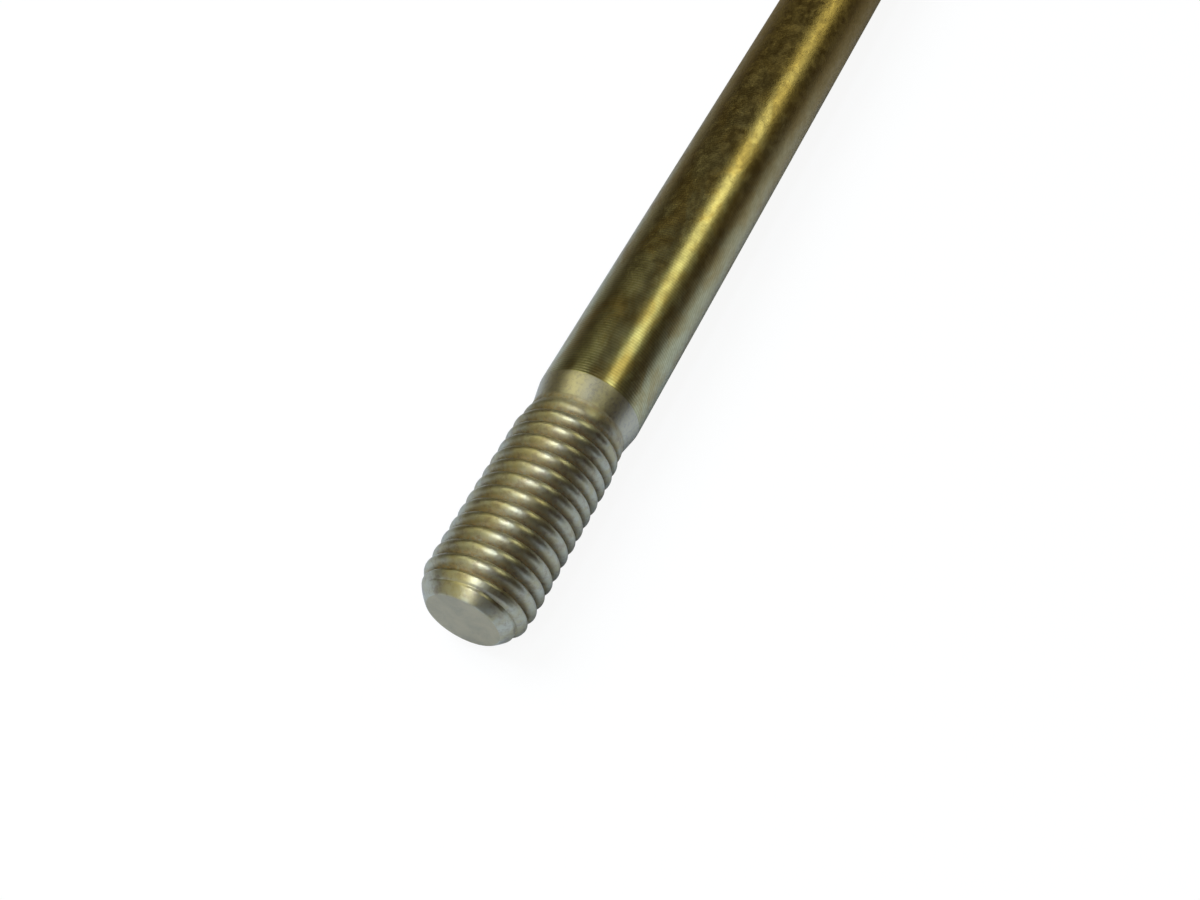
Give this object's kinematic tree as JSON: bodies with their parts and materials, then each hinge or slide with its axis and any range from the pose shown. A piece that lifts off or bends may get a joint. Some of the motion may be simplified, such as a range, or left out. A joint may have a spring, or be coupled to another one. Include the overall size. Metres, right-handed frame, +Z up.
{
  "type": "hexagon head bolt",
  "caption": "Long hexagon-head frame bolt with a plain shank, a short taper and a rolled thread with a rounded tip.",
  "frame": {"origin": "on the surface that the bolt lies on, under the middle of its length", "axes": "+X along the bolt from the tip to the head, +Z up, +Y across; the bolt's own axis dips 1.26 degrees towards the tip, because the head is thicker than the thread"},
  "size_m": [0.1478, 0.0208, 0.0181],
  "materials": {
    "plated_steel": "bright zinc plating with yellow chromate, glossy on the shank, mottled olive and brown"
  },
  "bodies": {
    "root": {"frame_bolt": "plated_steel"}
  },
  "joints": []
}
